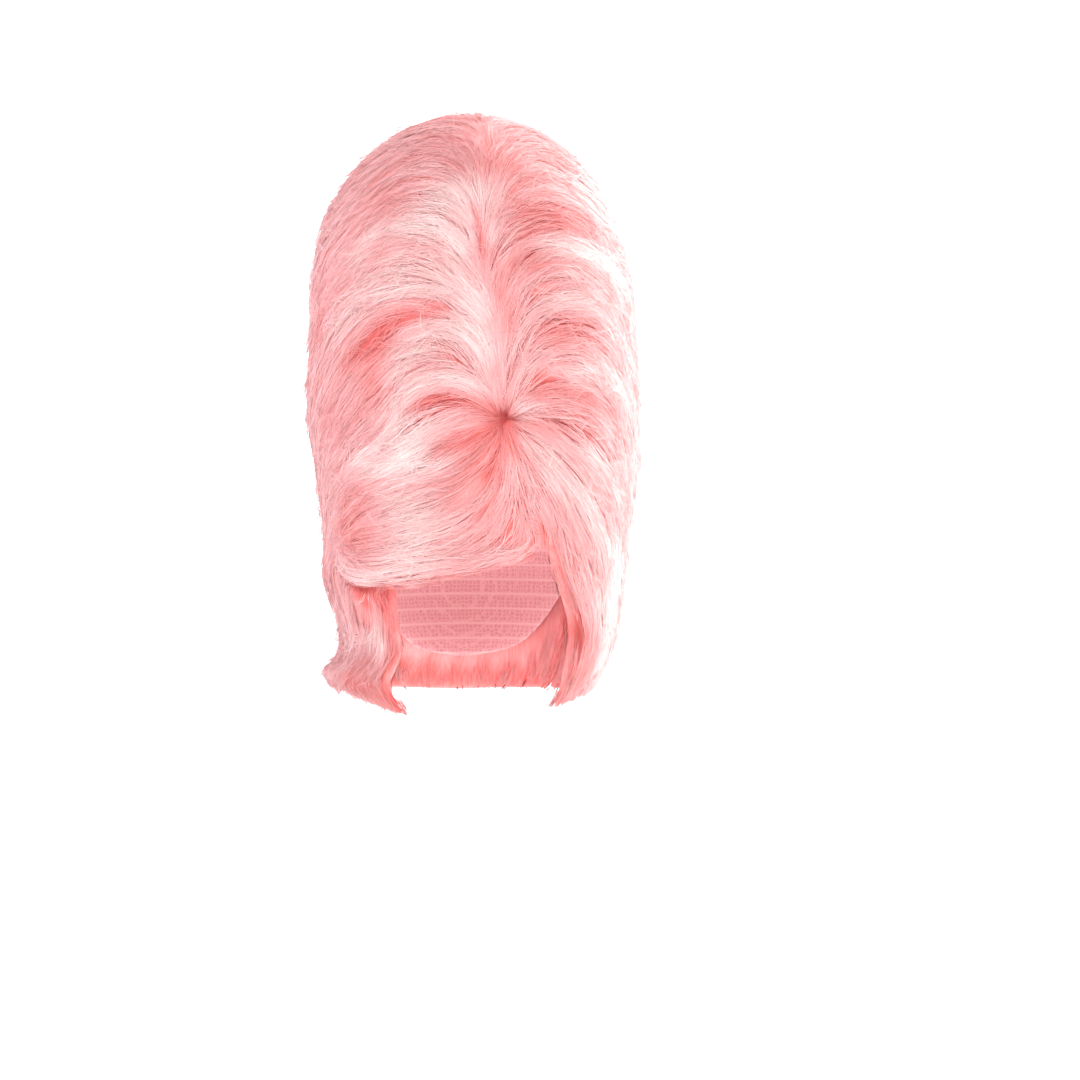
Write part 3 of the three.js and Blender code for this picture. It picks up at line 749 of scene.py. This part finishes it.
def lay(name, fibres, layer, width=FIBRE_WIDTH, lift_off=0.0, rise=0.0, on=depth, facing=1, paler=0.0):
    """A piece of fibres from their places on the form. layer is the least and the most that they lie outside
    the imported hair, and on maps how deep it lies. lift_off and rise are how far tips stand off and turn up."""
    around, down, clump = fibres
    count, steps = around.shape
    share = np.linspace(0, 1, steps)[None]
    swells = read_map(swell_and_painted_light, around, down)
    outside = rng.uniform(*layer, clump[-1] + 1)[clump][:, None] + rng.normal(0, 0.25, count)[:, None]
    arch = np.sin(math.pi * share) * rng.uniform(0, 0.6, count)[:, None]
    stands = rng.uniform(0.2, 1, count)[:, None]
    lift = outside + arch - 0.4 * (1 - share) ** 3 + lift_off * stands * share**1.5
    lift = lift + np.where(swells > 0, CREST_LIFT, HOLLOW_SINK) * np.clip(swells, -1, 1)
    points = on_form(around, down - rise * stands * share**3, read_map(on, around, down) - lift)
    # The fibres' tone: paler on the crests as painted highlight, deeper coral in the hollows as painted shade,
    # and darker the deeper a fibre lies, as painted shade. Patches of noise, and each clump and fibre, vary it
    # at random
    tone = 0.5 + 0.42 * np.clip(swells, -1.1, 1) + 0.12 * np.clip(outside - 0.5, -1.5, 0.6)
    tone = tone + 0.08 * noise_over(points, 70) + 0.05 * noise_over(points, 14)
    tone = tone + rng.normal(0, 0.06, clump[-1] + 1)[clump][:, None] + rng.normal(0, 0.08, count)[:, None]
    # Painted shade on the left (-X) side, away from the key light; the top of the dome is darker too
    tone = tone + paler - 0.06 * (1 - smooth(down, 90, 150)) - 0.04 * smooth(-around, 60, 130)
    return lay_fibres(name, points, np.clip(tone, 0, 1), width * rng.uniform(0.6, 1.3, count), facing)


def combed(starts, length, stray=0.07, curl=0.06, steps=5, allowed=covered, late=0.25):
    """Fibres combed from places along the ways of the hair."""
    return fibres_of(*combed_paths(*starts, length, stray, curl, allowed), steps, CLUMP_SPREAD, late)


def gathered(count, path, spread):
    """Fibres gathered in one lock along a path of (degrees round, share of TOWER_HEIGHT)."""
    around, down = curve(path, 1.0)
    at = np.linspace(0, len(around) - 1, SUBSTEPS + 1).astype(int)
    clumps = count // CLUMP
    aside = rng.normal(0, spread, (clumps, 1)) * np.linspace(1, 0.3, SUBSTEPS + 1)
    rounds, downs = around[at][None] + 0 * aside, down[at][None] + aside
    return fibres_of(rounds, downs, np.full(clumps, SUBSTEPS - 2), 6, 0.8)


# The fibres of each area, laid from its roots, with the longest and densest in front
COVER_END = QUARTER + SHOULDER + 112
BACK_END = QUARTER + SHOULDER + 108
BOB_START = QUARTER + SHOULDER + 70
LAYER = (-0.2, 1.1)
dense = covered * (0.4 + 0.6 * np.exp(-((from_parting / 35) ** 2)))
lay("fibres_front_left", combed(starts_in(8200, -88, -3, 130, COVER_END, dense), 90), LAYER)
lay("fibres_front_right", combed(starts_in(7800, -3, 82, 130, COVER_END, dense), 90), LAYER)
lay("fibres_crown", combed(starts_in(7000, -95, 90, 0, 150, covered), 40, 0.2, 0.25, 4), LAYER)
lay("fibres_back_right", combed(starts_in(3800, 82, 180, 20, BACK_END, covered), 80, steps=4), LAYER)
lay("fibres_back_left", combed(starts_in(3800, 180, 272, 20, BACK_END, covered), 80, steps=4), LAYER)
lay("fibres_bob_left", combed(starts_in(2600, -100, -40, BOB_START, DOWN_END, covered), 65), LAYER)
lay("fibres_bob_right", combed(starts_in(2200, 30, 95, BOB_START, DOWN_END, covered), 65), LAYER)
lay("fibres_bob_back", combed(starts_in(3000, 95, 260, BOB_START, DOWN_END, covered), 65, steps=4), LAYER)

# Short fibres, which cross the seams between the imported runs, and cover the roots at the whorl and along the
# parting, where the hair changes its way
roots = np.exp(-((from_parting / 7) ** 2))
whorl = np.exp(-(((cells - parting[2]) ** 2).sum(axis=2) / 6**2))
in_seams = np.clip(2.5 * blur(grooves, 1), 0, 1)
seams = combed(starts_in(3600, -95, 95, 0, COVER_END, in_seams), 45, 0.15, 0.1, 4)
lay("fibres_seams", seams, (-1.2, 0.5), width=0.6)
lay("fibres_parting", combed(starts_in(2400, -20, 20, 90, 310, roots), 55, late=0.1), (0.4, 1.6))
lay("fibres_whorl", combed(starts_in(1000, -12, 16, 270, 310, whorl), 55, late=0.06), (0.4, 1.6))

# The curl at the fringe's end, a few hairs thick, and the tips of the bob at the left, which are set with heat
# to flip outwards
CURL = [(-42, -0.402), (-56, -0.405), (-67, -0.375), (-72, -0.325), (-68, -0.29)]
lay("fibres_curl", gathered(200, CURL, 1.2), (0.5, 1.8), paler=0.1)
FLIP_START = QUARTER + SHOULDER + 122
everywhere = np.ones_like(covered)
flip = combed(starts_in(900, -100, -52, FLIP_START, FLIP_START + 40, covered), 28, 0.15, allowed=everywhere)
lay("fibres_flip_left", flip, (0.0, 1.5), lift_off=9, rise=18)

# The hair's thickness at its edges round the face and at its tips, and the inside of the hanging hair
edge = widen(covered, 1)
rim = edge * np.clip(1.7 - 1.7 * blur(covered, 3), 0, 1)
rim_front = combed(starts_in(2500, -100, 95, COVER_END - 90, DOWN_END, rim), 40, 0.12, 0.1, 4, edge)
lay("fibres_rim", rim_front, (-9, 0))
rim_back = combed(starts_in(1000, 95, 260, COVER_END, DOWN_END, rim), 40, 0.12, 0.1, 4, edge)
lay("fibres_rim_back", rim_back, (-9, 0))
inside = combed(starts_in(3600, 0, 360, COVER_END - 40, DOWN_END, lined), 45, 0.12, 0.1, 3, lined)
lay("fibres_inside", inside, (-1.5, 0.3), on=inner_depth, facing=-1)

# Fine fibres that have come out of the combing and lie over it, and loose ones that stand off the hair all
# over and blur its outline
fine = combed(starts_in(4000, -100, 100, 0, DOWN_END, covered), 45, 0.3, 0.3, 4)
lay("fibres_fine_front", fine, (0.8, 2.2), width=0.24, lift_off=2)
for name, count, first, last in (("front", 6000, -120, 120), ("back", 2400, 120, 240)):
    loose = combed(starts_in(count, first, last, 0, DOWN_END, covered), 30, 0.7, 0.8, 4)
    lay("fibres_loose_" + name, loose, (0.0, 2.0), width=0.25, lift_off=12)

# The stage: a plain pale floor and wall, soft light, and the camera where the photo's was
FLOOR_HEIGHT = -0.62
stage = bmesh.new()
bmesh.ops.create_grid(stage, x_segments=1, y_segments=24, size=1.0)
for vert in stage.verts:
    share = (vert.co.y + 1) / 2
    flat, bend = min(share / 0.5, 1), max(0.0, share - 0.5) / 0.5 * math.pi / 2
    rise = FLOOR_HEIGHT + 6 * (1 - math.cos(bend))
    vert.co = Vector((vert.co.x * 8, -4 + 8 * flat + 2 * math.sin(bend), rise))
floor_mesh = bpy.data.meshes.new("floor")
stage.to_mesh(floor_mesh)
stage.free()
floor_mesh.polygons.foreach_set("use_smooth", [True] * len(floor_mesh.polygons))
floor = bpy.data.objects.new("floor", floor_mesh)
bpy.context.collection.objects.link(floor)
paper, tree, shader = new_material("matt_white_paper")
shader.inputs["Base Color"].default_value = linear("#ffffff")
shader.inputs["Roughness"].default_value = 0.9
shader.inputs["Specular IOR Level"].default_value = 0.1
floor.data.materials.append(paper)


def soft_light(name, place, aim, size, power, colour):
    """A round soft box at a place, turned to its aim."""
    lamp = bpy.data.lights.new(name, "AREA")
    lamp.shape = "DISK"
    lamp.size = size
    lamp.energy = power
    lamp.color = linear(colour)[:3]
    holder = bpy.data.objects.new(name, lamp)
    bpy.context.collection.objects.link(holder)
    holder.location = place
    holder.rotation_euler = (Vector(aim) - Vector(place)).to_track_quat("-Z", "Y").to_euler()


WIG_MIDDLE = (0, 0, 0.03)
soft_light("key", (1.7, 0.45, 1.0), WIG_MIDDLE, 1.2, 98, "#fffaf7")
soft_light("front", (-0.5, -2.3, 0.9), WIG_MIDDLE, 1.4, 35, "#fffafa")
soft_light("left_edge", (-1.6, 0.5, 0.5), WIG_MIDDLE, 1.0, 8, "#f4edff")
soft_light("wall_light", (0, 1.5, 3.2), (0, 6, 0.5), 2.5, 420, "#ffffff")

world = bpy.data.worlds.new("pale_room")
world.use_nodes = True
world.node_tree.nodes["Background"].inputs["Color"].default_value = linear("#ffffff")
world.node_tree.nodes["Background"].inputs["Strength"].default_value = 0.7
bpy.context.scene.world = world
bpy.context.scene.view_settings.view_transform = "Standard"

CAMERA_AROUND = math.radians(9)  # towards the wearer's right
CAMERA_ABOVE = math.radians(1)
CAMERA_AWAY = 1.836
AIM_RIGHT = 0.045
AIM_HEIGHT = -0.068
lens = bpy.data.cameras.new("camera")
lens.lens = 85
lens.sensor_width = 36
lens.clip_start = 0.05
camera = bpy.data.objects.new("camera", lens)
bpy.context.collection.objects.link(camera)
view_way = Vector((math.sin(CAMERA_AROUND), math.cos(CAMERA_AROUND), 0))
aim = Vector((view_way.y, -view_way.x, 0)) * AIM_RIGHT + Vector((0, 0, AIM_HEIGHT))
off = Vector((0, 0, math.sin(CAMERA_ABOVE))) - view_way * math.cos(CAMERA_ABOVE)
camera.location = aim + off * CAMERA_AWAY
camera.rotation_euler = (-off).to_track_quat("-Z", "Y").to_euler()
bpy.context.scene.camera = camera
